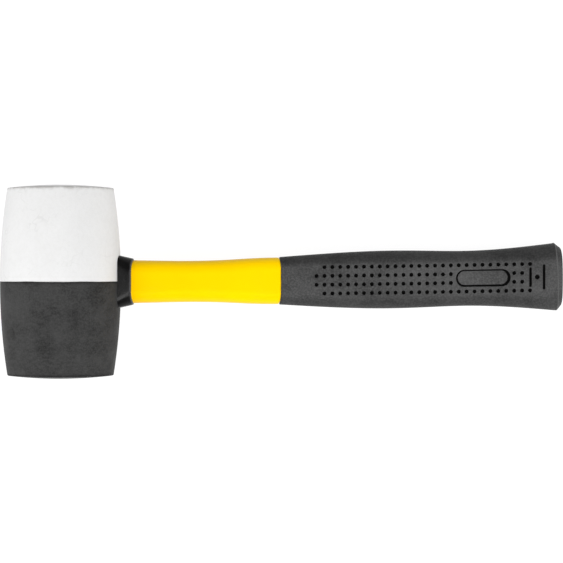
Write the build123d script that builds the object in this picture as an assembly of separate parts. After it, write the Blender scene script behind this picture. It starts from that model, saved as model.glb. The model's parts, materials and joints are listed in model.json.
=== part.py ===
from build123d import *
from math import asin, atan2, cos, degrees, hypot, sin
import os

# Rubber mallet, in millimetres.
#
# Every piece is shaped in the mallet's own frame: the origin is the middle of the head, X runs along
# the handle to the butt, Y runs along the head to the white face, and Z is across the broad side of
# the handle. lie_down() then lays the finished pieces on a bench at Z = 0, as the mallet comes to
# rest: on the belly of the barrel and on the lower edge of the butt.

# Head: a barrel turned about Y, white above the bond plane and black below it
belly_diameter = 75.0
rim_diameter = 65.8
rim_to_rim = 116.2
face_crown = 2.0  # rise of a striking face above its rim
rim_round = 0.8

# Eye: a blind pocket, open towards +X, that the collar's spigot fills at its mouth
eye_far_wall = 15.5  # rubber left between the eye's floor and the barrel's far side
spigot_wall = 1.4  # of the collar's spigot, between the eye and the neck

# Collar at the mouth of the eye
collar_reach = 8.1  # how far it stands out of the belly
collar_end_wall = 1.3  # thickness at its outer end, around the neck
collar_flare_height = 3.3  # how much taller it is where it meets the barrel
collar_flare_width = 0.4
collar_base_corner = 5.5  # its corners are tighter against the barrel
spigot_depth = 9.5  # how far it goes into the eye
collar_end_curve = 34.0  # radius of its outer edge, seen along Y
collar_edge_round = 1.1
collar_root = 4.0  # how far its flared shape runs on inside the belly, before the barrel trims it
collar_overrun = 0.5  # and past its end, before the outer edge's curve trims it

# Handle: a fibreglass rod in a moulded jacket
core_height = 17.5
core_width = 11.0
core_corner = 4.5
core_tip_gap = 4.0  # resin between the rod's tip and the eye's floor
jacket_tip_overlap = 4.0  # how far the jacket goes past the spigot, into the resin
jacket_tip_flare = 0.25  # how much wider its tip is than the neck, on each side
neck_length = 90.3  # from the collar's end to the grip's mouth
handle_drift = 3.3  # how far the bowed handle has moved towards the white face by its end
neck_corner = 7.2
# Share of the neck's length, height, width
neck_sections = [
    (0.0, 26.5, 18.2),
    (0.13, 26.0, 18.1),
    (0.37, 25.4, 18.0),
    (0.62, 26.3, 18.5),
    (0.87, 28.5, 19.8),
    (1.0, 28.8, 20.2),
]

# Grip: a soft sleeve moulded over the jacket
grip_length = 175.5
grip_lip = 0.35  # how far the mouth stands proud of the neck
mouth_curve = 42.0  # radius of the mouth's edge, seen along Y
shank_inset = 2.1  # rebate of the jacket below the grip's mouth, on each side
shank_corner = 5.2
butt_wall = 7.0  # rubber behind the end of the jacket
jacket_end_wall = 4.0  # plastic behind the end of the rod
butt_chamfer = 4.0
# Share of the distance from mouth to chamfer, height, width, corner radius
grip_sections = [
    (0.14, 32.6, 23.0, 7.8),
    (0.38, 35.8, 26.0, 8.4),
    (0.53, 35.1, 26.1, 8.6),
    (0.67, 34.1, 26.0, 8.8),
    (0.86, 37.3, 28.0, 9.8),
    (1.0, 42.0, 30.6, 11.0),
]

# Texture of the grip's two broad sides
dimple_diameter = 2.35
dimple_depth = 2.2
dimple_pitch = 4.87
dimple_row_spacing = 5.43
first_dimple = 27.9  # from the mouth to the outer rows' first dimple
inner_row_lead = 1  # dimples of an inner row ahead of the outer rows' first
pad_length = 33.6
pad_width = 10.5
pad_groove_ends = 1.3  # width of the groove at the pad's two ends
pad_groove_sides = 0.8
pad_groove_depth = 1.2
pad_island_forward = 0.4  # how far the island is moved towards the head
pad_island_up = 0.2  # and towards the white face
pad_to_butt = 49.7  # from the pad's middle to the end of the butt
pad_clearance = 2.0  # least distance from the end of the pad to a dimple's middle
front_slot_length = 12.2
rear_slot_length = 15.4
slot_width = 1.45
slot_depth = 2.2
slot_spacing = 8.3
slot_to_butt = 12.4  # from the rear slot to the end of the butt
slot_dot_diameter = 2.9

# Places along the handle
belly_radius = belly_diameter / 2
rim_radius = rim_diameter / 2
rim_height = rim_to_rim / 2
eye_floor = -belly_radius + eye_far_wall
spigot_start = belly_radius - spigot_depth
jacket_tip = spigot_start - jacket_tip_overlap
collar_end = belly_radius + collar_reach
grip_start = collar_end + neck_length
handle_end = grip_start + grip_length
chamfer_start = handle_end - butt_chamfer
shank_end = handle_end - butt_wall
core_tip = eye_floor + core_tip_gap
core_end = shank_end - jacket_end_wall

# Places along the grip, from its mouth
pad_place = grip_length - pad_to_butt
rear_slot_place = grip_length - slot_to_butt
front_slot_place = rear_slot_place - slot_spacing

well_past = belly_diameter  # longer than any piece that a cutter has to go through


def bow(x):
    """Y of the handle's middle line at x: a parabola that leaves the head square to it."""
    return handle_drift * (x / handle_end) ** 2


def section(x, height, width, corner):
    """A rounded rectangle across the handle, centred on its middle line."""
    across = Plane(origin=(x, bow(x), 0), x_dir=(0, 1, 0), z_dir=(1, 0, 0))
    return across * RectangleRounded(height, width, corner)


def cross_cylinder(x, radius):
    """A cylinder about the Y direction, with its axis at x and its seam turned to +Z, clear of the
    pieces that it cuts."""
    return Pos(x, 0, 0) * Rot(90, 0, 0) * Rot(0, 0, 90) * Cylinder(radius, well_past)


def barrel_half():
    """One half of the head, on the +Y side: an arched side, a rounded rim and a crowned face."""
    top = (0, rim_height + face_crown)
    rim = (rim_radius, rim_height)
    side = TangentArc((belly_radius, 0), rim, tangent=(0, 1))
    crown = TangentArc(top, rim, tangent=(1, 0))
    outline = Line((0, 0), (belly_radius, 0)) + side + crown + Line(top, (0, 0))
    profile = make_face(outline)
    corner = profile.vertices().sort_by_distance(rim)[0]
    return revolve(fillet(corner, rim_round), axis=Axis.Y)


def eye_prism(start, end):
    """The eye's own section between two places on X: the neck's, with the spigot's wall around it."""
    neck_start = neck_sections[0]
    height = neck_start[1] + 2 * spigot_wall
    width = neck_start[2] + 2 * spigot_wall
    across = Plane(origin=(start, 0, 0), x_dir=(0, 1, 0), z_dir=(1, 0, 0))
    return extrude(across * RectangleRounded(height, width, neck_corner + spigot_wall), end - start)


def rod():
    """The fibreglass rod: one constant section that follows the bow."""
    sections = []
    for share in (0, 0.25, 0.5, 0.75, 1):
        x = core_tip + share * (core_end - core_tip)
        sections.append(section(x, core_height, core_width, core_corner))
    return loft(sections)


def neck_body():
    """The outside of the jacket from its flared tip in the eye to just past the grip's mouth."""
    flare = 2 * jacket_tip_flare
    neck_start = neck_sections[0]
    sections = [section(jacket_tip, neck_start[1] + flare, neck_start[2] + flare, neck_corner)]
    for share, height, width in neck_sections:
        sections.append(section(collar_end + share * neck_length, height, width, neck_corner))
    sections.append(section(grip_start + shank_inset, height, width, neck_corner))
    return loft(sections)


def shank_body():
    """The jacket's narrower length below the grip."""
    neck_end = neck_sections[-1]
    height = neck_end[1] - 2 * shank_inset
    width = neck_end[2] - 2 * shank_inset
    start = grip_start - shank_inset
    sections = []
    for share in (0, 0.33, 0.67, 1):
        sections.append(section(start + share * (shank_end - start), height, width, shank_corner))
    return loft(sections)


def mouth_cylinder():
    """Everything on the grip's side of the curved mouth edge."""
    return cross_cylinder(grip_start + mouth_curve, mouth_curve)


def jacket_body():
    """Neck and shank in one, without the rod's bore."""
    return (neck_body() - mouth_cylinder()) + shank_body()


def flange_section(x):
    """The collar's outline at x: it tapers evenly from where it meets the belly to its end."""
    neck_start = neck_sections[0]
    share = (collar_end - x) / collar_reach
    height = neck_start[1] + 2 * collar_end_wall + share * collar_flare_height
    width = neck_start[2] + 2 * collar_end_wall + share * collar_flare_width
    end_corner = neck_corner + collar_end_wall
    return section(x, height, width, end_corner + share * (collar_base_corner - end_corner))


def flange():
    """The collar outside the barrel, trimmed by the curve of its outer edge, which is rounded."""
    root = flange_section(belly_radius - collar_root)
    past_end = flange_section(collar_end + collar_overrun)
    trim = cross_cylinder(collar_end - collar_end_curve, collar_end_curve)
    body = loft([root, past_end]) & trim
    end_face = body.faces().sort_by(Axis.X)[-1]
    return fillet(end_face.edges(), collar_edge_round)


def grip_profile():
    """Place, height, width and corner radius of each of the grip's sections, from its mouth."""
    neck_end = neck_sections[-1]
    mouth_height = neck_end[1] + 2 * grip_lip
    mouth_width = neck_end[2] + 2 * grip_lip
    profile = [(grip_start, mouth_height, mouth_width, neck_corner + grip_lip)]
    for share, height, width, corner in grip_sections:
        profile.append((grip_start + share * (chamfer_start - grip_start), height, width, corner))
    return profile


def half_width(x):
    """Half the grip's width at x, along a straight line between the sections on either side."""
    profile = grip_profile()
    for near, far in zip(profile, profile[1:]):
        if x <= far[0]:
            break
    share = (x - near[0]) / (far[0] - near[0])
    return (near[2] + share * (far[2] - near[2])) / 2


def grip_body():
    """The outside of the grip up to the chamfer."""
    return loft([section(*place) for place in grip_profile()])


def butt_end():
    """The chamfered end of the grip."""
    height, width, corner = grip_sections[-1][1:]
    full = section(chamfer_start, height, width, corner)
    lost = 2 * butt_chamfer
    small = section(handle_end, height - lost, width - lost, corner - butt_chamfer)
    return loft([full, small], ruled=True)


def dimple_places():
    """Distance from the mouth and from the middle line of every dimple on one broad side.

    The outer rows run to the front slot. The inner rows start earlier, leave room for the pad and
    stop one dimple short of the slot.
    """
    last = round((front_slot_place - first_dimple) / dimple_pitch)
    rows = [first_dimple + k * dimple_pitch for k in range(-inner_row_lead, last + 1)]
    outer = rows[inner_row_lead:]
    pad_room = pad_length / 2 + pad_clearance
    inner = [along for along in rows[:-1] if abs(along - pad_place) > pad_room]
    places = []
    for columns, row in ((outer, 1.5), (inner, 0.5), (inner, -0.5), (outer, -1.5)):
        places += [(along, row * dimple_row_spacing) for along in columns]
    return places


def broad_side_cutters(outline, along, across, depth):
    """Two cutters that sink a flat outline into both broad sides of the grip.

    along is the distance from the mouth, and across the distance from the handle's middle line.
    """
    x = grip_start + along
    upper = extrude(Pos(x, bow(x) + across, half_width(x) - depth) * outline, well_past)
    return [upper, mirror(upper, about=Plane.XY)]


def dimple_cutters():
    cutters = []
    for along, across in dimple_places():
        cutters += broad_side_cutters(Circle(dimple_diameter / 2), along, across, dimple_depth)
    return cutters


def slot_cutters():
    """The two slots across the handle near the butt, and the round dot between them."""
    front_slot = SlotOverall(front_slot_length, slot_width, rotation=90)
    rear_slot = SlotOverall(rear_slot_length, slot_width, rotation=90)
    dot = Circle(slot_dot_diameter / 2)
    cutters = broad_side_cutters(front_slot, front_slot_place, 0, slot_depth)
    cutters += broad_side_cutters(rear_slot, rear_slot_place, 0, slot_depth)
    return cutters + broad_side_cutters(dot, rear_slot_place - slot_spacing / 2, 0, slot_depth)


def pad_cutters():
    """The groove around the blank oval pad, wider behind and below the pad's island."""
    island = SlotOverall(pad_length - 2 * pad_groove_ends, pad_width - 2 * pad_groove_sides)
    ring = SlotOverall(pad_length, pad_width) - Pos(-pad_island_forward, pad_island_up) * island
    return broad_side_cutters(ring, pad_place, 0, pad_groove_depth)


def white_head_half():
    return barrel_half() - eye_prism(eye_floor, well_past)


def black_head_half():
    return mirror(barrel_half(), about=Plane.XZ) - eye_prism(eye_floor, well_past)


def eye_collar():
    barrel = barrel_half() + mirror(barrel_half(), about=Plane.XZ)
    spigot = eye_prism(spigot_start, belly_radius)
    return (flange() - barrel) + spigot - neck_body()


def handle_jacket():
    return jacket_body() - rod()


def fibreglass_core():
    return rod()


def eye_resin():
    return eye_prism(eye_floor, spigot_start) - neck_body() - rod()


def grip_sleeve():
    mouth_side = Pos(grip_start, 0, 0) * Box(2 * shank_inset, well_past, well_past)
    body = (grip_body() + butt_end()) - (mouth_side - mouth_cylinder()) - shank_body()
    return body - (dimple_cutters() + slot_cutters() + pad_cutters())


def lie_down():
    """The turn and shift that lay the mallet on the bench, with its bounding box centred on Z."""
    low_edge = grip_sections[-1][2] / 2
    tilt = asin(belly_radius / hypot(chamfer_start, low_edge)) - atan2(low_edge, chamfer_start)
    butt_top = low_edge - butt_chamfer
    far_end = handle_end * cos(tilt) + butt_top * sin(tilt)
    return Location(((belly_radius - far_end) / 2, 0, belly_radius), (0, 1, 0), degrees(tilt))


pieces = {
    "white_head_half": white_head_half,
    "black_head_half": black_head_half,
    "eye_collar": eye_collar,
    "handle_jacket": handle_jacket,
    "fibreglass_core": fibreglass_core,
    "eye_resin": eye_resin,
    "grip_sleeve": grip_sleeve,
}

os.makedirs("parts", exist_ok=True)
for name, make in pieces.items():
    export_step(lie_down() * make(), f"parts/{name}.step")
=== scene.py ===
import json
import math
from itertools import product

import bmesh
import bpy
import numpy as np
from mathutils import Matrix, Vector


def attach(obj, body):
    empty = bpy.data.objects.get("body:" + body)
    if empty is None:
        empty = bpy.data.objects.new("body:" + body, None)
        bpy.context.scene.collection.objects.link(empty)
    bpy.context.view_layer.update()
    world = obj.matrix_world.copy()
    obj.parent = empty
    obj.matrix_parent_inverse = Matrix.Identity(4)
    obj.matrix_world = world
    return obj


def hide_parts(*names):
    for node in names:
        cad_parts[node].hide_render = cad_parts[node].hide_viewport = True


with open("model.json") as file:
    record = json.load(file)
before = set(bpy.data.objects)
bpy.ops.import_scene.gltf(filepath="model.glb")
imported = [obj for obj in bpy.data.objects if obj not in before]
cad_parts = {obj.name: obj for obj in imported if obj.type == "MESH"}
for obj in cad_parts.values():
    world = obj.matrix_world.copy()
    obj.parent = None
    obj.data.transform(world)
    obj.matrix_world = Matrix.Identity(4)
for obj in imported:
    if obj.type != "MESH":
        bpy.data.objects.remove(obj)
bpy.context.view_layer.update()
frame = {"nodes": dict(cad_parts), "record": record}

# Rubber mallet lying on a bench. Every piece is worked out in the mallet's own frame, in millimetres:
# the origin is the middle of the head, X runs along the handle to the butt, Y along the head to the
# white face, and Z across the broad side of the handle. laid() puts the points where the CAD model
# lies, in metres.

MM = 0.001
weld_distance = 2e-6  # metres

# ---------------------------------------------------------------- the mallet's own frame

mounts = {mount["name"]: mount for mount in frame["record"]["mounts"]}
white_top = np.array(mounts["white_striking_face"]["pos_m"])
black_top = np.array(mounts["black_striking_face"]["pos_m"])
head_middle = (white_top + black_top) / 2
handle_axis = np.array(mounts["butt_face"]["axis"])
head_axis = np.array(mounts["white_striking_face"]["axis"])
own_axes = np.array([handle_axis, head_axis, np.cross(handle_axis, head_axis)])


def laid(points):
    """Own-frame millimetres to metres on the bench."""
    return head_middle + (points * MM) @ own_axes


def extent(node):
    """Lowest and highest own-frame corner of a CAD node, in millimetres."""
    mesh = frame["nodes"][node].data
    flat = np.empty(len(mesh.vertices) * 3)
    mesh.vertices.foreach_get("co", flat)
    own = (flat.reshape(-1, 3) - head_middle) @ own_axes.T / MM
    return own.min(axis=0), own.max(axis=0)


head_high = extent("white_head_half")[1]
collar_low, collar_high = extent("eye_collar")
jacket_low, jacket_high = extent("handle_jacket")
grip_low, grip_high = extent("grip_sleeve")
core_high = extent("fibreglass_core")[1]

# ---------------------------------------------------------------- sizes

# Head
belly_radius = head_high[2]
face_crown = 2.0
rim_height = head_high[1] - face_crown
rim_radius = 32.9
rim_round = 0.8
head_columns = 180
bond_chamfer = 0.22
bond_wave = 0.22

# Eye and collar
eye_floor = extent("eye_resin")[0][0]
eye_height = 29.3
eye_width = 21.0
eye_corner = 8.6
spigot_start = collar_low[0]
collar_end = collar_high[0]
collar_reach = collar_end - belly_radius
collar_end_wall = 1.3
collar_flare_height = 3.3
collar_flare_width = 0.4
collar_base_corner = 5.5
collar_end_curve = 34.0
collar_edge_round = 1.1

# Handle
handle_end = grip_high[0]
handle_drift = 3.3
neck_corner = 7.2
grip_start = grip_low[0]
lip_end = grip_start + 0.3  # where the mouth's rounded lip meets the broad sides
mouth_curve = 42.0
mouth_fade = 9.0  # distance over which the mouth's curve fades away
shank_inset = 2.1
shank_corner = 5.2
shank_end = jacket_high[0]
jacket_tip = jacket_low[0]
jacket_seam = 0.09  # height of the moulding seam on the narrow sides
core_height = 17.5
core_width = 11.0
core_corner = 4.5
core_end = core_high[0]
butt_chamfer = 4.0
chamfer_start = handle_end - butt_chamfer
butt_start = chamfer_start - 1.6
# Share of the neck's length, height, width
neck_sections = np.array([
    (0.0, 26.5, 18.2),
    (0.13, 26.0, 18.1),
    (0.37, 25.4, 18.0),
    (0.62, 26.3, 18.5),
    (0.87, 28.5, 19.8),
    (1.0, 28.8, 20.2),
])
# Share of the distance from mouth to chamfer, height, width, corner radius
grip_sections = np.array([
    (0.0, 29.5, 20.9, 7.55),
    (0.14, 32.6, 23.0, 7.8),
    (0.38, 35.8, 26.0, 8.4),
    (0.53, 35.1, 26.1, 8.6),
    (0.67, 34.1, 26.0, 8.8),
    (0.86, 37.3, 28.0, 9.8),
    (1.0, 42.0, 30.6, 11.0),
])
butt_dome = (0.5, 1.0)  # how far the butt's end falls back at its lower and upper edge
butt_skew = (-0.4, 1.2)  # how far back the chamfer starts at its lower and upper edge
grip_cushion = 0.035  # share by which a broad side falls away towards its edges

# Texture of the grip's broad sides
dimple_radius = 1.175
dimple_depth = 2.2
dimple_pitch = 4.87
row_spacing = 5.43
first_dimple = grip_start + 27.9
outer_row = range(0, 27)
inner_row = [*range(-1, 17), 24, 25]
pad_cells = (17, 24)
front_slot_cell = 26
dot_cell = 27
rear_slot_cell = 28
last_cell = 29
row_split = 6.05  # where the inner rows' cells meet the outer rows'
row_edge = 2 * row_spacing
side_columns = 29  # points across a narrow side
pad_place = handle_end - 49.7
pad_length = 33.6
pad_width = 10.5
pad_groove_ends = 1.45
pad_groove_sides = 0.95
pad_groove_depth = 1.5
pad_island_forward = 0.4
pad_island_up = 0.2
slot_radius = 0.725
slot_depth = 2.2
front_slot_length = 12.2
rear_slot_length = 15.4
rear_slot_place = handle_end - 12.4
front_slot_place = rear_slot_place - 8.3
dot_radius = 1.45

# ---------------------------------------------------------------- curves and outlines


def through(x, knots, values):
    """The natural cubic spline through a few knots: straight-line bending at its two ends."""
    gap = np.diff(knots)
    slope = np.diff(values) / gap
    count = len(knots)
    system = np.eye(count)
    right = np.zeros(count)
    inner = np.arange(1, count - 1)
    system[inner, inner - 1] = gap[:-1]
    system[inner, inner] = 2 * (gap[:-1] + gap[1:])
    system[inner, inner + 1] = gap[1:]
    right[inner] = 6 * np.diff(slope)
    bend = np.linalg.solve(system, right)
    k = np.clip(np.searchsorted(knots, x, side="right") - 1, 0, count - 2)
    t = (x - knots[k]) / gap[k]
    straight = values[k] + t * (values[k + 1] - values[k])
    curve = (t**3 - t) * bend[k + 1] + ((1 - t) ** 3 - (1 - t)) * bend[k]
    return straight + curve * gap[k] ** 2 / 6


def bow(x):
    """Y of the handle's middle line: a parabola that leaves the head square to it."""
    return handle_drift * (x / handle_end) ** 2


def neck_size(x):
    """Height, width and corner radius of the jacket's outside at x."""
    share = np.clip((x - collar_end) / (grip_start - collar_end), -0.12, 1.0)
    height = through(share, neck_sections[:, 0], neck_sections[:, 1])
    width = through(share, neck_sections[:, 0], neck_sections[:, 2])
    return height, width, neck_corner + 0 * x


def grip_size(x):
    """Height, width and corner radius of the grip's outside at x."""
    share = np.clip((x - grip_start) / (chamfer_start - grip_start), 0, 1)
    return tuple(through(share, grip_sections[:, 0], grip_sections[:, k]) for k in (1, 2, 3))


def half_length(height, width, corner):
    """Length of a rounded rectangle's outline from the middle of a broad side to the middle of a
    narrow side."""
    return (height + width) / 2 - 2 * corner + corner * math.pi / 2


def outline(distance, height, width, corner):
    """Y and Z on a quarter of a rounded rectangle, by distance along it from the middle of the
    broad side: a flat, a quarter circle and a flat."""
    flat = height / 2 - corner
    arc = np.clip((distance - flat) / corner, 0, math.pi / 2)
    past = np.clip(distance - flat - corner * math.pi / 2, 0, None)
    y = np.minimum(distance, flat) + corner * np.sin(arc)
    z = width / 2 - corner * (1 - np.cos(arc)) - past
    return y, z


def steps(*stops):
    """Values from the first stop to the last; each (value, count) adds that many equal steps."""
    parts = [np.array([stops[0]], float)]
    for value, count in stops[1:]:
        parts.append(np.linspace(parts[-1][-1], value, count + 1)[1:])
    return np.concatenate(parts)


def cubic_ease(t):
    """0 to 1 with level ends."""
    t = np.clip(t, 0, 1)
    return t * t * (3 - 2 * t)


# ---------------------------------------------------------------- meshes


def pointed(x, y, z, mask=0.0):
    """Four arrays as one: three coordinates and the piece's own mask."""
    return np.stack(np.broadcast_arrays(x, y, z, mask), axis=-1)


def quads_of(shape, keep, start):
    """Corner numbers of every face of grids of that shape, less the faces that keep leaves out."""
    index = start + np.arange(np.prod(shape)).reshape(-1, shape[-2], shape[-1])
    corners = [index[:, :-1, :-1], index[:, 1:, :-1], index[:, 1:, 1:], index[:, :-1, 1:]]
    faces = np.stack(corners, axis=-1)
    return (faces if keep is None else faces[:, keep]).reshape(-1, 4)


def grid_mesh(name, points):
    """A mesh of one grid of points in metres."""
    mesh = bpy.data.meshes.new(name)
    mesh.from_pydata(points.reshape(-1, 3).tolist(), [], quads_of(points.shape[:-1], None, 0).tolist())
    return mesh


def weld(mesh):
    """Join the points that coincide and turn every face outwards."""
    work = bmesh.new()
    work.from_mesh(mesh)
    bmesh.ops.remove_doubles(work, verts=work.verts, dist=weld_distance)
    bmesh.ops.recalc_face_normals(work, faces=work.faces)
    work.to_mesh(mesh)
    work.free()


def added(name, data):
    """A new object in the scene for a mesh, a lamp or a camera."""
    thing = bpy.data.objects.new(name, data)
    bpy.context.scene.collection.objects.link(thing)
    return thing


def make_piece(name, grids, material, node, sharp):
    """A closed mesh from grids that meet edge to edge. A grid is an array of rows x columns x 4, or a
    pair of one and a true-or-false array that keeps some of its faces. Edges that turn by more than
    sharp degrees are shaded sharp."""
    faces, points, start = [], [], 0
    for grid in grids:
        grid, keep = grid if isinstance(grid, tuple) else (grid, None)
        faces.append(quads_of(grid.shape[:-1], keep, start))
        points.append(grid.reshape(-1, 4))
        start += len(points[-1])
    used, faces = np.unique(np.concatenate(faces), return_inverse=True)
    points = np.concatenate(points)[used]
    mesh = bpy.data.meshes.new(name)
    mesh.from_pydata(laid(points[:, :3]).tolist(), [], faces.reshape(-1, 4).tolist())
    mask = mesh.attributes.new("mask", "FLOAT", "POINT")
    mask.data.foreach_set("value", points[:, 3].astype(np.float32))
    weld(mesh)
    mesh.shade_smooth()
    mesh.set_sharp_from_angle(angle=math.radians(sharp))
    mesh.materials.append(material)
    piece = added(name, mesh)
    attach(piece, "root")
    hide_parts(node)
    return piece


# ---------------------------------------------------------------- head


def arc_radius(half_chord, rise):
    """Radius of the arc that rises by a height over half a chord."""
    return (half_chord**2 + rise**2) / (2 * rise)


side_radius = arc_radius(rim_height, belly_radius - rim_radius)
crown_radius = arc_radius(rim_radius, face_crown)


def meeting_point(centre_a, reach_a, centre_b, reach_b):
    """Where two circles cross, on the left of the way from the first centre to the second: along that
    line, then square to it."""
    a, b = np.array(centre_a), np.array(centre_b)
    apart = np.linalg.norm(b - a)
    along = (apart**2 + reach_a**2 - reach_b**2) / (2 * apart)
    unit = (b - a) / apart
    return a + along * unit + math.sqrt(reach_a**2 - along**2) * np.array([-unit[1], unit[0]])


def arc_points(centre, radius, start, end, count):
    """Points at equal steps along an arc, by cosine and sine of the angle."""
    angle = np.linspace(start, end, count + 1)
    return np.stack([centre[0] + radius * np.cos(angle), centre[1] + radius * np.sin(angle)], axis=-1)


def meridian():
    """Half of the head's outline as distance from its axis and height: the arched side, the rounded
    rim and the crowned face, each an arc that leaves the last one smoothly."""
    side_centre = (belly_radius - side_radius, 0.0)
    crown_centre = (0.0, rim_height + face_crown - crown_radius)
    rim_centre = meeting_point(
        side_centre, side_radius - rim_round, crown_centre, crown_radius - rim_round
    )
    low = math.atan2(rim_centre[1], rim_centre[0] - side_centre[0])
    high = math.atan2(rim_centre[1] - crown_centre[1], rim_centre[0])
    chamfer_angle = bond_chamfer / side_radius
    side = arc_points(side_centre, side_radius, chamfer_angle, low, 56)
    rim = arc_points(rim_centre, rim_round, low, high, 8)
    crown = arc_points(crown_centre, crown_radius, high, math.pi / 2, 20)
    edge = [[belly_radius - bond_chamfer, 0.0]]
    return np.concatenate([edge, side, rim[1:], crown[1:]])


def bond_ripple(turn):
    """Height of the wavy bond line: three slow waves of different lengths round the head."""
    return bond_wave * (np.sin(3 * turn + 0.4) * 0.45 + np.sin(7 * turn) * 0.35 + np.sin(13 * turn) * 0.2)


def head_half(side):
    """A surface of revolution: the meridian carried round the head's axis. Near the bond its rows
    follow the ripple, and a disc that follows it too closes the half."""
    turn = np.linspace(0, 2 * math.pi, head_columns + 1)
    reach, height = meridian().T
    inner = np.linspace(reach[0], 0, 12)[1:]
    reach = np.concatenate([inner[::-1], reach])[:, None]
    height = np.concatenate([0 * inner, height])[:, None]
    flat_part = np.arange(len(reach))[:, None] < len(inner)
    fade = np.where(flat_part, (reach / belly_radius) ** 2, np.clip(1 - height / 12.0, 0, 1) ** 2)
    lift = bond_ripple(turn)[None, :] * fade
    y = side * height + lift
    # The mask paints shade along the rounded rim of the face.
    rim_shade_mask = np.exp(-((np.hypot(height - rim_height, reach - rim_radius) / 1.8) ** 2))
    return pointed(reach * np.cos(turn), y, reach * np.sin(turn), rim_shade_mask)


def eye_cutter():
    """A plain prism of the eye's section, which opens the pocket in each half of the head."""
    share = np.linspace(0, 1, 13)
    around = []
    for sign_y, sign_z, run in ((1, 1, share), (1, -1, share[::-1]), (-1, -1, share), (-1, 1, share[::-1])):
        distance = run * half_length(eye_height, eye_width, eye_corner)
        y, z = outline(distance, eye_height, eye_width, eye_corner)
        around.append(np.stack([sign_y * y, sign_z * z], axis=-1))
    ring = np.concatenate(around)
    x = np.array([eye_floor, eye_floor, belly_radius + 5, belly_radius + 5])[:, None]
    size = np.array([0.0, 1.0, 1.0, 0.0])[:, None]
    return pointed(x + 0 * ring[None, :, 0], ring[None, :, 0] * size, ring[None, :, 1] * size)


# ---------------------------------------------------------------- handle


def loop_shares(count):
    """Share of the way from a broad side's middle to a narrow side's, for a whole loop of columns,
    with the sign of Y and the sign of Z."""
    share = np.linspace(0, 1, count + 1)
    share = np.concatenate([share, share[::-1], share, share[::-1]])
    sign_y = np.repeat([1, 1, -1, -1], count + 1)
    sign_z = np.repeat([1, -1, -1, 1], count + 1)
    return share, sign_y, sign_z


def tube(x, height, width, corner, columns, scale=1.0, seam=0.0):
    """Rings of a rounded rectangle: one row for each x, centred on the bowed middle line. A seam
    raises a fine ridge along the middle of each narrow side."""
    share, sign_y, sign_z = loop_shares(columns)
    x, height, width, corner, scale, seam = (
        np.asarray(v, float)[:, None]
        for v in np.broadcast_arrays(x, height, width, corner, scale, seam)
    )
    share = 1 - (1 - share) ** 1.6
    y, z = outline(share * half_length(height, width, corner), height, width, corner)
    y = y + seam * np.exp(-((z / 0.28) ** 2))
    return x + 0 * y, bow(x) + sign_y * y * scale, sign_z * z * scale


def collar_grid():
    """A profile carried round the neck: up the flared outside from the barrel, over the rounded edge,
    in to the neck, down the bore into the eye and back up the spigot."""
    neck_height, neck_width, _ = neck_size(np.array([collar_end]))
    end_height = neck_height[0] + 2 * collar_end_wall
    end_width = neck_width[0] + 2 * collar_end_wall
    corner = neck_corner + collar_end_wall
    flare = steps(1.0, (0.0, 10))
    edge = np.linspace(0, math.pi / 2, 6)
    hidden = 2.0  # how far it runs on inside the belly
    reach = collar_reach + hidden
    outside_x = belly_radius - hidden + (1 - flare) * (reach - collar_edge_round)
    round_x = collar_end - collar_edge_round * (1 - np.sin(edge))
    round_in = collar_edge_round * (1 - np.cos(edge))
    bore_x = steps(collar_end, (belly_radius, 6), (spigot_start, 6))
    bore = [size + 0.4 * np.clip(1 - (collar_end - bore_x) / 1.4, 0, 1) for size in neck_size(bore_x)]
    spigot_x = steps(spigot_start, (belly_radius - hidden, 6))
    x = np.concatenate([outside_x, round_x[1:], bore_x, spigot_x, outside_x[:1]])
    flared = flare * reach / collar_reach
    grow_h = np.concatenate([collar_flare_height * flared, -2 * round_in[1:]])
    grow_w = np.concatenate([collar_flare_width * flared, -2 * round_in[1:]])
    corner = corner - np.concatenate([(corner - collar_base_corner) * flared, round_in[1:]])
    ones = np.ones(len(spigot_x))
    height = np.concatenate([end_height + grow_h, bore[0], eye_height * ones, end_height + grow_h[:1]])
    width = np.concatenate([end_width + grow_w, bore[1], eye_width * ones, end_width + grow_w[:1]])
    corners = np.concatenate([corner, bore[2], eye_corner * ones, corner[:1]])
    x, y, z = tube(x, height, width, corners, columns=22)
    rows = np.arange(len(x))[:, None]
    outer = (rows < len(flare) + 5) | (rows == len(x) - 1)
    saddle = belly_radius - np.sqrt(belly_radius**2 - z**2)
    end_curve = collar_end_curve - np.sqrt(collar_end_curve**2 - z**2)
    share = np.clip((x - belly_radius + hidden) / reach, 0, 1)
    outer_x = x - (1 - share) * saddle - share * end_curve
    bore_share = np.clip((x - belly_radius) / collar_reach, 0, 1)
    inner_x = x - bore_share * end_curve
    # The mask paints a highlight along the rounded outer end.
    end_highlight_mask = np.exp(-(((x - collar_end) / 0.9) ** 2))
    return pointed(np.where(outer, outer_x, inner_x), y, z, end_highlight_mask)


def mouth_shift(x, z):
    """The mouth's edge lies on a cylinder: it is further back at the broad sides. The shift fades
    away from the mouth."""
    curve = mouth_curve - np.sqrt(mouth_curve**2 - z**2)
    return x + curve * cubic_ease(1 - np.abs(x - grip_start) / mouth_fade)


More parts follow.
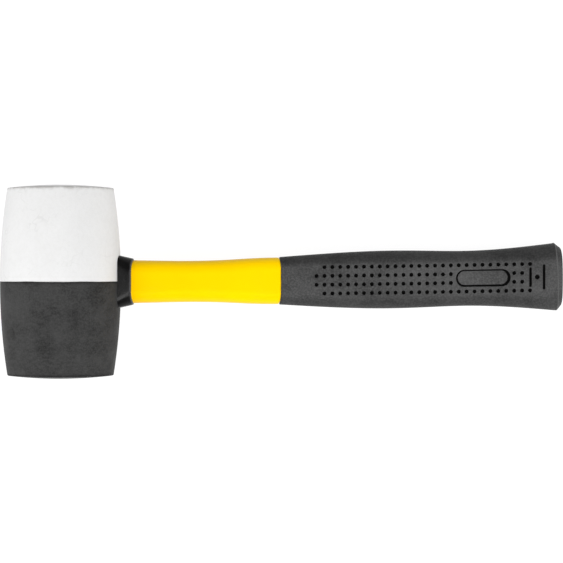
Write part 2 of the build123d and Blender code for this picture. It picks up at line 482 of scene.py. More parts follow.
def jacket_grid():
    """From the closed end of the shank, along it, up the shoulder at the grip's mouth, along the
    neck into the eye, and back down the rod's bore to its closed end."""
    end_height, end_width, _ = neck_size(np.array([grip_start]))
    shank = (end_height[0] - 2 * shank_inset, end_width[0] - 2 * shank_inset, shank_corner)
    x_shank = steps(shank_end, (grip_start + 8, 24), (grip_start, 6))
    gap = 0.5  # a fine groove where the grip's mouth meets the neck
    x_neck = steps(grip_start, (grip_start - gap, 2), (grip_start - gap - 0.1, 1), (grip_start - 12, 8),
                   (collar_end, 48), (jacket_tip, 8))
    x_bore = steps(jacket_tip, (core_end, 20))
    neck = neck_size(x_neck)
    lip = np.where(x_neck > grip_start - gap - 0.05, 0.9, 0.0)
    neck = (neck[0] - 2 * lip, neck[1] - 2 * lip, neck[2] - lip)
    core = (core_height, core_width, core_corner)
    x = np.concatenate([[shank_end], x_shank, x_neck, x_bore, [core_end]])
    height, width, corner = (
        np.concatenate([np.full(1 + len(x_shank), outside), along_neck, np.full(len(x_bore) + 1, bore)])
        for outside, along_neck, bore in zip(shank, neck, core)
    )
    scale = np.ones(len(x))
    scale[[0, -1]] = 0
    seam = np.zeros(len(x))
    first = 1 + len(x_shank)
    seam[first + 4:first + len(x_neck)] = jacket_seam
    x, y, z = tube(x, height, width, corner, columns=26, scale=scale, seam=seam)
    by_collar = collar_end - (collar_end_curve - np.sqrt(collar_end_curve**2 - z**2))
    # The mask paints shade on the neck next to the collar, fading over a few millimetres.
    return pointed(mouth_shift(x, z), y, z, np.exp(-np.clip((x - by_collar) / 4.5, 0, 9)))


# ---------------------------------------------------------------- grip

cell_lines = 6
first_cell = -1


def cell_x(cell):
    """Where a cell of the texture starts along the handle: half way between two dimples, or just
    clear of the rear end of the pad."""
    if cell == pad_cells[1]:
        return pad_place + pad_length / 2 + 0.38
    return first_dimple + (cell - 0.5) * dimple_pitch


def grip_point(x, distance, depth=0.0, mask=0.0):
    """A point on the grip's upper broad side, sunk by a depth: the outline at x, pressed down
    towards its edges by the cushion's share of the square of the distance from the middle."""
    height, width, corner = grip_size(x)
    y, z = outline(np.abs(distance), height, width, corner)
    z = z * (1 - grip_cushion * (y / (height / 2)) ** 2)
    y = np.sign(distance) * y
    return pointed(mouth_shift(x, z), bow(x) + y, z - depth, mask)


def grip_lines():
    """Places of the grip's rows of points along the handle, up to the chamfer."""
    cells = [(cell_x(cell), cell_lines) for cell in range(first_cell + 1, last_cell + 1)]
    return steps(lip_end, (grip_start + 2.4, 4), (cell_x(first_cell), 12), *cells, (butt_start, 4))


def row_lines():
    """Places of the columns across a broad side, from one edge of the texture to the other."""
    outer, inner = cell_lines, cell_lines
    return steps(-row_edge, (-row_split, outer), (0.0, inner), (row_split, inner), (row_edge, outer))


def rectangle_loop(cells, columns):
    """The points of the grip's own lines round a rectangle of cells, as x and distance."""
    x = grip_lines()
    d = row_lines()
    start = np.searchsorted(x, cell_x(cells[0]) - 1e-6)
    xs = x[start:start + (cells[1] - cells[0]) * cell_lines + 1]
    ds = d[columns[0]:columns[1] + 1]
    loop_x = np.concatenate([xs[:-1], np.full(len(ds) - 1, xs[-1]), xs[:0:-1], np.full(len(ds), xs[0])])
    loop_d = np.concatenate([np.full(len(xs) - 1, ds[0]), ds[:-1], np.full(len(xs) - 1, ds[-1]), ds[::-1]])
    return loop_x, loop_d


def sunk(cells, columns, centre, rings, across=False):
    """A sunk shape that fills a rectangle of cells, from the rectangle inwards. Each of its rings keeps
    one radius from a short middle line: (radius, depth, half length of the line, shift of its middle
    along and across). A line of no length makes a round shape, and a last radius of nothing closes it.
    """
    loop_x, loop_d = rectangle_loop(cells, columns)
    off_x, off_d = loop_x - centre[0], loop_d - centre[1]
    radius, depth, run, shift_x, shift_d = (column[:, None] for column in np.array(rings, float).T)
    longest = run[0, 0]
    mid_x = 0 * off_x if across else np.clip(off_x, -longest, longest)
    mid_d = np.clip(off_d, -longest, longest) if across else 0 * off_d
    ray_x, ray_d = off_x - mid_x, off_d - mid_d
    reach = np.hypot(ray_x, ray_d)
    shrink = run / longest if longest else 1.0
    x = centre[0] + shift_x + mid_x * shrink + ray_x / reach * radius
    d = centre[1] + shift_d + mid_d * shrink + ray_d / reach * radius
    half_x, half_d = (loop_x + x[0]) / 2, (loop_d + d[0]) / 2
    depths = np.concatenate([[[0.0], [0.0]], depth]) + 0 * loop_x
    return np.stack([loop_x, half_x, *x]), np.stack([loop_d, half_d, *d]), depths


def pit(radius, depth, half_run=0.0):
    """Rings of a moulded pit or slot: a soft lip, a steep wall and a floor that runs to a point."""
    profile = [(radius + 0.2, 0.0), (radius + 0.04, 0.05), (radius - 0.05, 0.35),
               (radius - 0.12, depth * 0.55), (radius * 0.5, depth * 0.8), (0.0, depth)]
    return [(reach, deep, half_run, 0.0, 0.0) for reach, deep in profile]


def pad_rings():
    """Rings of the pad's V-shaped groove, down its outer wall, up to the island and across the
    island, which is flush with the grip and a little ahead of and above the groove's middle."""
    out, out_run = pad_width / 2, (pad_length - pad_width) / 2
    inside = out - pad_groove_sides
    inside_run = pad_length / 2 - pad_groove_ends - inside
    shift = (-pad_island_forward, pad_island_up)
    rings = [(out + more, deep, out_run, 0.0, 0.0) for more, deep in ((0.2, 0.0), (0.02, 0.05), (-0.1, 0.7))]
    rings += [((out + inside) / 2, pad_groove_depth, (out_run + inside_run) / 2, shift[0] / 2, shift[1] / 2)]
    rings += [(inside + more, deep, inside_run, *shift) for more, deep in
              ((0.08, 0.7), (-0.04, 0.05), (-0.22, 0.0), (-1.6, -0.05))]
    return rings + [(inside * 0.3, -0.08, inside_run, *shift), (0.0, -0.08, inside_run, *shift)]


def texture():
    """Every sunk shape of one broad side, with the rectangle of faces that it takes the place of."""
    n = cell_lines
    dimple = pit(dimple_radius, dimple_depth)
    shapes = []
    for cells, rows in (
        (outer_row, (((0, n), -1.5), ((3 * n, 4 * n), 1.5))),
        (inner_row, (((n, 2 * n), -0.5), ((2 * n, 3 * n), 0.5))),
    ):
        for cell, (columns, row) in product(cells, rows):
            centre = (first_dimple + cell * dimple_pitch, row * row_spacing)
            shapes.append(((cell, cell + 1), columns, centre, dimple))
    front_slot = pit(slot_radius, slot_depth, front_slot_length / 2 - slot_radius)
    rear_slot = pit(slot_radius, slot_depth, rear_slot_length / 2 - slot_radius)
    dot = pit(dot_radius, slot_depth)
    middle = (front_slot_place + rear_slot_place) / 2
    shapes.append((pad_cells, (n, 3 * n), (pad_place, 0.0), pad_rings()))
    shapes.append(((front_slot_cell, dot_cell), (n, 3 * n), (front_slot_place, 0.0), front_slot, True))
    shapes.append(((dot_cell, rear_slot_cell), (n, 3 * n), (middle, 0.0), dot))
    shapes.append(((rear_slot_cell, last_cell), (0, 4 * n), (rear_slot_place, 0.0), rear_slot, True))
    return shapes


def flipped(grid):
    """The same grid on the lower broad side."""
    return grid * np.array([1, 1, -1, 1])


def painted_side_shade(distance):
    """The mask of painted shade on the narrow sides, darker than the broad sides and darkest on the side
    towards the white face; it grows over a few millimetres from the outer row of dimples."""
    return np.where(distance > 0, 0.38, 0.25) * cubic_ease((np.abs(distance) - row_edge + 2.7) / 4.2)


def broad_side():
    """The plain lines of a broad side, less the rectangles of the sunk shapes, and those shapes."""
    x, d = np.meshgrid(grip_lines(), row_lines(), indexing="ij")
    keep = np.ones((x.shape[0] - 1, x.shape[1] - 1), bool)
    grids = []
    for cells, columns, *shape in texture():
        start = np.searchsorted(grip_lines(), cell_x(cells[0]) - 1e-6)
        rows = slice(start, start + (cells[1] - cells[0]) * cell_lines)
        keep[rows, columns[0]:columns[1]] = False
        sx, sd, depth = sunk(cells, columns, *shape)
        # The mask paints shade into the sunk shapes, full from 0.12 mm down, and towards the narrow sides.
        mask = np.maximum(np.clip(depth / 0.12, 0, 1), painted_side_shade(sd))
        grids.append(grip_point(sx, sd, depth, mask))
    return [(grip_point(x, d, 0.0, painted_side_shade(d)), keep)] + grids


def narrow_side(side):
    """The band round a narrow side, from the texture's edge above to its edge below."""
    x = grip_lines()[:, None]
    across = np.linspace(-1, 1, side_columns)[None, :]
    longest = half_length(*grip_size(x))
    distance = side * (longest - np.abs(across) * (longest - row_edge))
    upper = grip_point(x, distance, 0.0, painted_side_shade(distance))
    return upper * pointed(1.0, 1.0, np.where(across < 0, -1.0, 1.0), 1.0)


def loop_distances(x):
    """Distances along the outline for the whole loop of the grip's columns at x, with both signs."""
    broad = row_lines()
    across = np.linspace(-1, 1, side_columns)
    longest = half_length(*grip_size(x))
    side = longest - np.abs(across) * (longest - row_edge)
    upper = np.ones(len(broad))
    edge = np.where(across < 0, -1.0, 1.0)
    distance = np.concatenate([broad, side[::-1], broad[::-1], -side])
    sign_z = np.concatenate([upper, edge[::-1], -upper, edge])
    return distance, sign_z


def ring(x, share_loop, height, width, corner, sign_z, cushion=0.0, scale=1.0):
    """One loop of the grip's columns at x, on a rounded rectangle of another size."""
    distance = share_loop * half_length(height, width, corner)
    y, z = outline(np.abs(distance), height, width, corner)
    z = z * (1 - cushion * (y / (height / 2)) ** 2)
    y = np.sign(distance) * y
    return pointed(x + 0 * y, bow(x) + y * scale, sign_z * z * scale)


def butt_rings():
    """The butt: a rounded turn into the chamfer, the chamfer, a rounded turn into the end and an
    end that rises a little to its middle."""
    distance, sign_z = loop_distances(butt_start)
    size = grip_size(np.array(butt_start))
    share = distance / half_length(*size)
    c = butt_chamfer
    # Each row is a place, an inset and a mask: a mask below 0 paints a highlight along the chamfer's edge,
    # and 0 gives the ring the painted side shade.
    profile = [(butt_start, 0.0, 0.0), (chamfer_start - 0.2, 0.02, 0.0), (chamfer_start + 0.15, 0.14, -1.0),
               (chamfer_start + 0.5, 0.45, -0.5), (chamfer_start + 1.0, 0.95, 0.0),
               (chamfer_start + c - 0.9, c - 1.0, 0.0), (chamfer_start + c - 0.55, c - 0.45, 0.0),
               (chamfer_start + c - 0.35, c + 0.3, 0.0)]
    rings = []
    for x, inset, mask in profile:
        full = grip_size(np.array(x))
        rings.append(ring(x, share, full[0] - 2 * inset, full[1] - 2 * inset, full[2] - inset * 0.9,
                          sign_z, grip_cushion))
        rings[-1][:, 3] = mask if mask else painted_side_shade(distance)
    last = rings[-1]
    middle = np.array([handle_end, bow(handle_end), 0.0, 0.0])
    for scale in (0.9, 0.75, 0.5, 0.25, 0.0):
        shrunk = middle + (last - middle) * scale
        shrunk[:, 0] = handle_end - (handle_end - last[:, 0]) * scale**2
        rings.append(shrunk)
    rings = np.stack(rings)
    off = (rings[..., 1] - bow(handle_end)) / grip_sections[-1, 1] * 2
    into = (rings[..., 0] - butt_start) / (handle_end - butt_start)
    skew = np.where(off < 0, *butt_skew) * np.abs(off) * cubic_ease(into * 3.6) * cubic_ease((1 - into) * 1.5)
    rings[..., 0] -= skew + np.where(off < 0, *butt_dome) * off**2 * cubic_ease(into)
    return rings


def mouth_rings():
    """The mouth's rounded lip, and the inside of the sleeve down to its closed end."""
    distance, sign_z = loop_distances(lip_end)
    share = distance / half_length(*grip_size(np.array(lip_end)))
    size = grip_size(np.array(grip_start))
    end_height, end_width, _ = neck_size(np.array([grip_start]))
    inner = (end_height[0] - 2 * shank_inset, end_width[0] - 2 * shank_inset, shank_corner)
    upper = grip_point(lip_end + 0 * distance, distance, 0.0, painted_side_shade(distance))
    rings = [upper * pointed(1.0, 1.0, sign_z, 1.0)]
    for x, inset in ((lip_end - 0.2, 0.08), (grip_start, 0.3)):
        rings.append(ring(x, share, size[0] - 2 * inset, size[1] - 2 * inset, size[2] - inset,
                          sign_z, grip_cushion))
    for x in steps(grip_start, (grip_start + 8, 4), (shank_end, 24)):
        rings.append(ring(x, share, *inner, sign_z))
    rings.append(ring(shank_end, share, *inner, sign_z, scale=0.0))
    rings = np.stack(rings)
    rings[1:, :, 0] = mouth_shift(rings[1:, :, 0], rings[1:, :, 2])
    return rings


def grip_grids():
    """The whole sleeve: two broad sides, two narrow sides, the butt, and the mouth with its bore."""
    upper = broad_side()
    lower = [(flipped(g[0]), g[1]) if isinstance(g, tuple) else flipped(g) for g in upper]
    return upper + lower + [narrow_side(1), narrow_side(-1), butt_rings(), mouth_rings()]


# ---------------------------------------------------------------- shader helpers


class Nodes:
    """Short ways to add nodes to a material or a group and to join them."""

    def __init__(self, tree):
        self.tree = tree

    def add(self, kind, inputs=None, **settings):
        """A node of a kind, with its settings, and its inputs given or linked."""
        node = self.tree.nodes.new(kind)
        for key, value in settings.items():
            setattr(node, key, value)
        for key, value in (inputs or {}).items():
            self.put(node.inputs[key], value)
        return node

    def put(self, socket, value):
        """Link another node's output to a socket, or set the socket's own value."""
        if isinstance(value, bpy.types.NodeSocket):
            self.tree.links.new(value, socket)
        else:
            socket.default_value = value

    def math(self, operation, *values, clamp=False):
        """Arithmetic on values or outputs."""
        node = self.add("ShaderNodeMath", operation=operation, use_clamp=clamp)
        for socket, value in zip(node.inputs, values):
            self.put(socket, value)
        return node.outputs[0]

    def mix(self, share, a, b):
        """Mix two colours; a share above 0 lets the second one in."""
        node = self.add("ShaderNodeMix", data_type="RGBA")
        self.put(node.inputs[0], share)
        self.put(node.inputs[6], a)
        self.put(node.inputs[7], b)
        return node.outputs[2]

    def between(self, value, low, high, to_low=0.0, to_high=1.0):
        """Stretch a value's range from low..high to another one, held at its ends."""
        node = self.add("ShaderNodeMapRange", {0: value, 1: low, 2: high, 3: to_low, 4: to_high})
        return node.outputs[0]

    def noise(self, where, scale, detail=2.0, rough=0.5, distortion=0.0):
        """Cloudy noise from 0 to 1 that changes over the surface."""
        node = self.add(
            "ShaderNodeTexNoise",
            {"Vector": where, "Scale": scale, "Detail": detail, "Roughness": rough, "Distortion": distortion},
        )
        return node.outputs["Fac"]

    def place(self):
        """Object coordinates of the piece."""
        return self.add("ShaderNodeTexCoord").outputs["Object"]

    def stretched(self, where, scale):
        """Coordinates scaled on each axis, so that a pattern is drawn out along the smaller ones."""
        return self.add("ShaderNodeMapping", {"Vector": where, "Scale": scale}).outputs[0]


def new_group(name, inputs, outputs):
    """An empty shader group with float or colour inputs and outputs, and its two end nodes."""
    tree = bpy.data.node_groups.new(name, "ShaderNodeTree")
    for label, start in inputs.items():
        kind = "NodeSocketFloat" if isinstance(start, float) else "NodeSocketColor"
        socket = tree.interface.new_socket(label, in_out="INPUT", socket_type=kind)
        socket.default_value = start
    for label, kind in outputs.items():
        tree.interface.new_socket(label, in_out="OUTPUT", socket_type=kind)
    nodes = Nodes(tree)
    return nodes, nodes.add("NodeGroupInput").outputs, nodes.add("NodeGroupOutput").inputs


def rgb(*grey_or_colour):
    """A colour with its alpha, from one grey or three channels."""
    return (*(grey_or_colour * 3)[:3], 1.0)


# ---------------------------------------------------------------- shared surface effects


def grain_group():
    """Fine moulded grain as a height, and slow patches of lighter and darker material."""
    nodes, given, out = new_group(
        "moulded grain", {"Scale": 1500.0, "Patch Scale": 40.0},
        {"Height": "NodeSocketFloat", "Patches": "NodeSocketFloat"},
    )
    where = nodes.place()
    fine = nodes.noise(where, given["Scale"], detail=2.0, rough=0.6)
    pores = nodes.add("ShaderNodeTexVoronoi", {"Vector": where, "Scale": given["Scale"]})
    height = nodes.math("MULTIPLY_ADD", pores.outputs["Distance"], 0.5, fine)
    nodes.put(out["Height"], height)
    nodes.put(out["Patches"], nodes.noise(where, given["Patch Scale"], detail=6.0, rough=0.62))
    return nodes.tree


def dust_group():
    """Where dust clings: clouds of it, broken into specks."""
    nodes, given, out = new_group(
        "clinging dust", {"Cloud Scale": 30.0, "Speck Scale": 900.0, "Amount": 0.5},
        {"Dust": "NodeSocketFloat"},
    )
    where = nodes.place()
    clouds = nodes.noise(where, given["Cloud Scale"], detail=5.0, rough=0.65, distortion=0.6)
    specks = nodes.noise(where, given["Speck Scale"], detail=3.0, rough=0.7)
    cloudy = nodes.between(clouds, 0.38, 0.68)
    specked = nodes.between(specks, 0.44, 0.6)
    both = nodes.math("MULTIPLY_ADD", specked, 0.55, nodes.math("MULTIPLY", cloudy, 0.45))
    nodes.put(out["Dust"], nodes.math("MULTIPLY", both, given["Amount"], clamp=True))
    return nodes.tree


def scuff_group():
    """Handling marks: hairline scratches that run mostly along the piece, and curved smears where a
    slow noise crosses its middle value, both only in a few patches."""
    nodes, given, out = new_group(
        "handling marks", {"Scale": 60.0, "Amount": 0.5},
        {"Marks": "NodeSocketFloat", "Smears": "NodeSocketFloat"},
    )
    where = nodes.place()
    along = nodes.stretched(where, (0.12, 1.6, 1.6))
    lines = nodes.noise(along, nodes.math("MULTIPLY", given["Scale"], 14.0), detail=3.0, rough=0.55)
    hairs = nodes.between(nodes.math("ABSOLUTE", nodes.math("SUBTRACT", lines, 0.5)), 0.0, 0.012, 1.0, 0.0)
    patches = nodes.between(nodes.noise(where, given["Scale"], detail=3.0), 0.52, 0.7)
    nodes.put(out["Marks"], nodes.math("MULTIPLY", nodes.math("MULTIPLY", hairs, patches), given["Amount"]))
    slow = nodes.noise(where, nodes.math("MULTIPLY", given["Scale"], 2.2), detail=2.0, distortion=0.3)
    curves = nodes.between(nodes.math("ABSOLUTE", nodes.math("SUBTRACT", slow, 0.5)), 0.0, 0.02, 1.0, 0.0)
    nodes.put(out["Smears"], nodes.math("MULTIPLY", nodes.math("MULTIPLY", curves, patches), given["Amount"]))
    return nodes.tree


def edge_light_group():
    """Breaks a mask of painted edge light and shade into uneven stretches."""
    nodes, given, out = new_group(
        "edge rub", {"Mask": 0.0, "Scale": 220.0, "Amount": 0.5}, {"Edge Light": "NodeSocketFloat"}
    )
    broken = nodes.noise(nodes.place(), given["Scale"], detail=5.0, rough=0.7)
    painted_edge_light = nodes.between(nodes.math("ADD", broken, nodes.math("MULTIPLY", given["Mask"], 0.35)), 0.55, 0.85)
    with_edge_light = nodes.math("MULTIPLY", painted_edge_light, given["Mask"])
    nodes.put(out["Edge Light"], nodes.math("MULTIPLY", with_edge_light, given["Amount"]))
    return nodes.tree


grain = grain_group()
dust = dust_group()
scuffs = scuff_group()
edge_light_breakup = edge_light_group()

# ---------------------------------------------------------------- materials


def new_material(name, **shader_settings):
    """A Principled material; the settings are constants of its shader, by socket name."""
    material = bpy.data.materials.new(name)
    material.use_nodes = True
    nodes = Nodes(material.node_tree)
    shader = material.node_tree.nodes["Principled BSDF"]
    for key, value in shader_settings.items():
        shader.inputs[key.replace("_", " ")].default_value = value
    return material, nodes, shader.inputs


def use(nodes, group, **inputs):
    """Put a shared effect into a material with its own values."""
    node = nodes.add("ShaderNodeGroup", node_tree=group)
    for key, value in inputs.items():
        nodes.put(node.inputs[key.replace("_", " ")], value)
    return node.outputs


def painted_light_mask(nodes):
    """The piece's own mask of painted light and shade, which its mesh carries at every point."""
    return nodes.add("ShaderNodeAttribute", attribute_name="mask").outputs["Fac"]


def emboss(nodes, shader, height, distance, strength):
    """Raise the surface by a height pattern; the distance is in metres."""
    node = nodes.add("ShaderNodeBump", {"Height": height, "Distance": distance, "Strength": strength})
    nodes.put(shader["Normal"], node.outputs[0])


def near_bond(nodes, width):
    """1 on the bond between the head's halves, fading to 0 at a distance from it in metres."""
    height = nodes.add("ShaderNodeSeparateXYZ", {"Vector": nodes.place()}).outputs["Y"]
    return nodes.between(nodes.math("ABSOLUTE", height), 0.0, width, 1.0, 0.0)


def white_rubber():
    """Chalky non-marking rubber with faint grey smudges, a little greyer on its bond, and painted shade that
    greys its rim.
    """
    material, nodes, shader = new_material("white rubber", IOR=1.42)
    surface = use(nodes, grain, Scale=1100.0, Patch_Scale=26.0)
    smudge = use(nodes, dust, Cloud_Scale=30.0, Speck_Scale=420.0, Amount=0.8)["Dust"]
    smears = use(nodes, scuffs, Scale=42.0, Amount=1.0)["Smears"]
    painted_edge_light = use(nodes, edge_light_breakup, Mask=painted_light_mask(nodes), Scale=180.0, Amount=1.0)["Edge Light"]
    plain_tone_and_rim_shade = nodes.mix(nodes.between(surface["Patches"], 0.3, 0.7), rgb(0.70), rgb(0.74))
    smudged = nodes.mix(nodes.math("MULTIPLY", smudge, 0.28), plain_tone_and_rim_shade, rgb(0.60, 0.595, 0.58))
    marked = nodes.mix(nodes.math("MULTIPLY", smears, 0.3), smudged, rgb(0.42, 0.42, 0.41))
    # Painted shade: the rim is greyed in uneven stretches.
    rim_shaded = nodes.mix(painted_edge_light, marked, rgb(0.42, 0.41, 0.40))
    nodes.put(shader["Base Color"], nodes.mix(near_bond(nodes, 0.0007), rim_shaded, rgb(0.45)))
    nodes.put(shader["Roughness"], nodes.between(smudge, 0.0, 1.0, 0.52, 0.7))
    emboss(nodes, shader, surface["Height"], 0.00012, 0.5)
    return material


def black_rubber():
    """Dusty black rubber: grey clouds and streaks round the head, painted shade that darkens its rim, and a
    darker band near its bond.
    """
    material, nodes, shader = new_material("black rubber", IOR=1.36, Specular_IOR_Level=0.3)
    surface = use(nodes, grain, Scale=1000.0, Patch_Scale=55.0)
    cling = use(nodes, dust, Cloud_Scale=38.0, Speck_Scale=900.0, Amount=1.0)["Dust"]
    painted_edge_light = use(nodes, edge_light_breakup, Mask=painted_light_mask(nodes), Scale=160.0, Amount=1.0)["Edge Light"]
    streaks = nodes.noise(nodes.stretched(nodes.place(), (0.4, 1.0, 0.4)), 560.0, detail=5.0, rough=0.7)
    plain = nodes.mix(nodes.between(surface["Patches"], 0.4, 0.6), rgb(0.006), rgb(0.027))
    streaked = nodes.mix(nodes.between(streaks, 0.45, 0.6, 0.0, 0.32), plain, rgb(0.050))
    dusty = nodes.mix(nodes.math("MULTIPLY", cling, 0.62), streaked, rgb(0.064, 0.064, 0.063))
    # Painted shade along the rim, and a darker band near the bond, take the colour to near black.
    plain_tone_and_rim_shade = nodes.math("MAXIMUM", painted_edge_light, nodes.math("MULTIPLY", near_bond(nodes, 0.0022), 0.6))
    nodes.put(shader["Base Color"], nodes.mix(plain_tone_and_rim_shade, dusty, rgb(0.008)))
    nodes.put(shader["Roughness"], nodes.between(cling, 0.0, 1.0, 0.55, 0.8))
    emboss(nodes, shader, surface["Height"], 0.00018, 0.7)
    return material


def collar_plastic():
    """Black nylon with faint flow marks, and a painted highlight, broken into stretches, along its outer
    edge.
    """
    material, nodes, shader = new_material("collar plastic", IOR=1.45, Specular_IOR_Level=0.12)
    surface = use(nodes, grain, Scale=420.0, Patch_Scale=90.0)
    marks = use(nodes, scuffs, Scale=80.0, Amount=0.8)["Marks"]
    painted_edge_light = use(nodes, edge_light_breakup, Mask=painted_light_mask(nodes), Scale=260.0, Amount=0.9)["Edge Light"]
    tone = nodes.mix(surface["Patches"], rgb(0.002), rgb(0.009))
    # Painted highlight: a lighter line along the rounded outer end, with lighter stretches beside it.
    painted_edge_line = nodes.math("MULTIPLY", nodes.between(painted_light_mask(nodes), 0.75, 1.0), 0.5)
    lighter = nodes.math("MAXIMUM", marks, nodes.math("MAXIMUM", painted_edge_light, painted_edge_line))
    nodes.put(shader["Base Color"], nodes.mix(lighter, tone, rgb(0.10)))
    duller = nodes.math("MAXIMUM", marks, surface["Patches"])
    nodes.put(shader["Roughness"], nodes.between(duller, 0.3, 1.0, 0.2, 0.35))
    emboss(nodes, shader, surface["Height"], 0.00006, 0.3)
    return material


def yellow_plastic():
    """Bright glossy polypropylene with a slight orange-peel surface, hairline handling marks and painted
    shade that turns it orange next to the collar.
    """
    material, nodes, shader = new_material("yellow plastic", IOR=1.28, Specular_Tint=rgb(1.0, 0.75, 0.02))
    surface = use(nodes, grain, Scale=260.0, Patch_Scale=18.0)
    marks = use(nodes, scuffs, Scale=50.0, Amount=1.0)["Marks"]
    tone = nodes.mix(nodes.between(surface["Patches"], 0.3, 0.7), rgb(0.97, 0.60, 0.0), rgb(1.0, 0.65, 0.0))
    # Painted shade: the yellow turns orange next to the collar, where the mask is high.
    shaded = nodes.mix(nodes.math("MULTIPLY", painted_light_mask(nodes), 0.6), tone, rgb(0.80, 0.43, 0.0))
    marked = nodes.mix(nodes.math("MULTIPLY", marks, 0.35), shaded, rgb(0.75, 0.50, 0.06))
    nodes.put(shader["Base Color"], marked)
    nodes.put(shader["Roughness"], nodes.between(marks, 0.0, 1.0, 0.4, 0.6))
    emboss(nodes, shader, surface["Height"], 0.00005, 0.25)
    return material


def grip_rubber():
    """Soft grip rubber with a fine spark-eroded grain. Where its mask is above 0 it is painted shade, near
    black in the recesses and darker towards the narrow sides; where the mask is below 0 it is a painted
    highlight along the butt's chamfer."""
    material, nodes, shader = new_material("grip rubber", IOR=1.38, Specular_IOR_Level=0.25)
    surface = use(nodes, grain, Scale=1500.0, Patch_Scale=45.0)
    cling = use(nodes, dust, Cloud_Scale=40.0, Speck_Scale=850.0, Amount=1.0)["Dust"]
    plain = nodes.mix(nodes.between(surface["Patches"], 0.38, 0.62), rgb(0.028), rgb(0.046))
    dusty = nodes.mix(nodes.math("MULTIPLY", cling, 0.7), plain, rgb(0.100))
    # Where the mask is below 0 the colour is lightened: the painted highlight on the chamfer.
    painted_edge_light = nodes.math("MULTIPLY", painted_light_mask(nodes), -0.7)
    with_edge_light = nodes.mix(painted_edge_light, dusty, rgb(0.10))
    # Where the mask is above 0 the colour is taken to near black: painted shade in the recesses and towards
    # the narrow sides.
    nodes.put(shader["Base Color"], nodes.mix(painted_light_mask(nodes), with_edge_light, rgb(0.001)))
    bare = nodes.between(surface["Height"], 0.3, 1.1, 0.46, 0.66)
    recess = nodes.math("MULTIPLY", painted_light_mask(nodes), 0.95)
    nodes.put(shader["Roughness"], nodes.math("MAXIMUM", bare, recess))
    emboss(nodes, shader, surface["Height"], 0.00016, 0.8)
    return material


def fibreglass():
    """Pultruded glass strands in a pale green resin: noise drawn out along the rod."""
    material, nodes, shader = new_material("fibreglass", IOR=1.52)
    where = nodes.stretched(nodes.place(), (0.02, 1.0, 1.0))
    strands = nodes.noise(where, 2600.0, detail=4.0, rough=0.7)
    tone = nodes.mix(nodes.between(strands, 0.35, 0.65), rgb(0.40, 0.43, 0.24), rgb(0.68, 0.69, 0.50))
    nodes.put(shader["Base Color"], tone)
    nodes.put(shader["Roughness"], nodes.between(strands, 0.3, 0.7, 0.3, 0.55))
    emboss(nodes, shader, strands, 0.0001, 0.5)
    return material


def cast_resin():
    """Amber potting resin with small bubbles."""
    material, nodes, shader = new_material("cast resin", IOR=1.55)
    where = nodes.place()
    bubbles = nodes.add("ShaderNodeTexVoronoi", {"Vector": where, "Scale": 420.0}).outputs["Distance"]
    spots = nodes.between(bubbles, 0.1, 0.22, 1.0, 0.0)
    swirl = nodes.noise(where, 70.0, detail=4.0, distortion=1.2)
    tone = nodes.mix(swirl, rgb(0.30, 0.19, 0.07), rgb(0.52, 0.38, 0.18))
    nodes.put(shader["Base Color"], nodes.mix(spots, tone, rgb(0.62, 0.50, 0.30)))
    nodes.put(shader["Roughness"], nodes.between(swirl, 0.3, 0.7, 0.15, 0.35))
    emboss(nodes, shader, bubbles, 0.0001, 0.4)
    return material


# ---------------------------------------------------------------- the pieces


def open_eye(piece):
    """Cut the eye's pocket into a half of the head with a closed prism, then drop the prism."""
    mesh = grid_mesh("eye prism", laid(eye_cutter()[..., :3]))
    weld(mesh)
    prism = added("eye prism", mesh)
    cut = piece.modifiers.new("eye", "BOOLEAN")
    cut.operation = "DIFFERENCE"
    cut.solver = "EXACT"
    cut.object = prism
    shaped = bpy.data.meshes.new_from_object(piece.evaluated_get(bpy.context.evaluated_depsgraph_get()))
    piece.modifiers.clear()
    old = piece.data
    piece.data = shaped
    shaped.name = piece.name
    bpy.data.meshes.remove(old)
    bpy.data.objects.remove(prism)
    bpy.data.meshes.remove(mesh)


white_half = make_piece("white_half", [head_half(1)], white_rubber(), "white_head_half", 50)
black_half = make_piece("black_half", [head_half(-1)], black_rubber(), "black_head_half", 50)
open_eye(white_half)
open_eye(black_half)
make_piece("collar", [collar_grid()], collar_plastic(), "eye_collar", 40)
make_piece("jacket", [jacket_grid()], yellow_plastic(), "handle_jacket", 40)
make_piece("grip", grip_grids(), grip_rubber(), "grip_sleeve", 50)
frame["nodes"]["fibreglass_core"].material_slots[0].material = fibreglass()
frame["nodes"]["eye_resin"].material_slots[0].material = cast_resin()

# ---------------------------------------------------------------- floor, light and camera


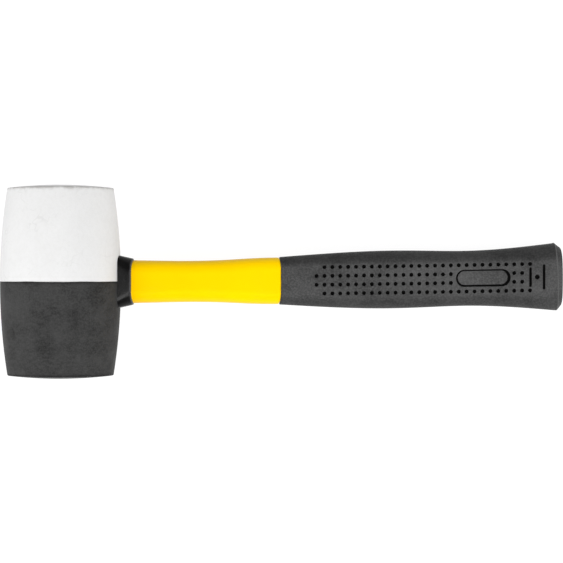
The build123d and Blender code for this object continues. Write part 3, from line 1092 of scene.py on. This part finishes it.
def floor():
    """A broad pale sweep under the mallet, lit a little from within so that shadows stay faint. It is
    a surface of revolution: flat to 3.2 m, then a quarter of an ellipse that rises to a low rim."""
    reach, rim_rise, rim_run = 4.0, 0.7, 0.8
    rise = np.linspace(0, math.pi / 2, 9)
    radius = np.concatenate([[0.0], reach - rim_run * (1 - np.sin(rise))])[:, None]
    height = np.concatenate([[0.0], rim_rise * (1 - np.cos(rise))])[:, None]
    turn = np.linspace(0, 2 * math.pi, 65)[None, :]
    points = pointed(radius * np.cos(turn), radius * np.sin(turn), height)[..., :3]
    mesh = grid_mesh("floor", points)
    mesh.shade_smooth()
    material, nodes, shader = new_material("pale floor", Roughness=0.9)
    nodes.put(shader["Base Color"], nodes.mix(nodes.noise(nodes.place(), 3.0), rgb(0.08), rgb(0.09)))
    shader["Emission Color"].default_value = rgb(1.0)
    shader["Emission Strength"].default_value = 0.96
    mesh.materials.append(material)
    added("floor", mesh)


def softbox(name, own_place, size, power):
    """A square area light that looks at the middle of the mallet; its place is in own-frame mm."""
    lamp = bpy.data.lights.new(name, "AREA")
    lamp.size = size
    lamp.energy = power
    box = added(name, lamp)
    box.location = laid(np.array(own_place, float))
    middle = Vector(laid(np.array([handle_end / 2, 0.0, 0.0])))
    box.rotation_euler = (box.location - middle).to_track_quat("Z", "Y").to_euler()


def place_camera():
    """Straight above the broad side, with the handle across the view and the white face up."""
    lens, sensor = 166.0, 36.0
    covered = 349.9  # width of the view at the mallet's middle plane
    aim_x, aim_y = 137.3, 0.16
    data = bpy.data.cameras.new("camera")
    data.lens = lens
    data.sensor_width = sensor
    data.clip_start = 0.05
    data.clip_end = 50
    camera = added("camera", data)
    turn = Matrix(own_axes.T.tolist()).to_4x4()
    turn.translation = Vector(laid(np.array([aim_x, aim_y, covered * lens / sensor])))
    camera.matrix_world = turn
    bpy.context.scene.camera = camera


def studio_light():
    """A broad overhead panel, two low panels off the ends of the mallet and a little light all round."""
    world = bpy.data.worlds.new("studio")
    world.use_nodes = True
    sky = world.node_tree.nodes["Background"]
    sky.inputs["Color"].default_value = rgb(1.0)
    sky.inputs["Strength"].default_value = 0.12
    bpy.context.scene.world = world
    softbox("overhead", (120, -560, 1650), 0.9, 26.2)
    softbox("head end", (-1200, -150, 650), 1.0, 10.6)
    softbox("butt end", (950, -150, 520), 0.6, 3.3)
    bpy.context.scene.view_settings.view_transform = "Standard"


floor()
studio_light()
place_camera()
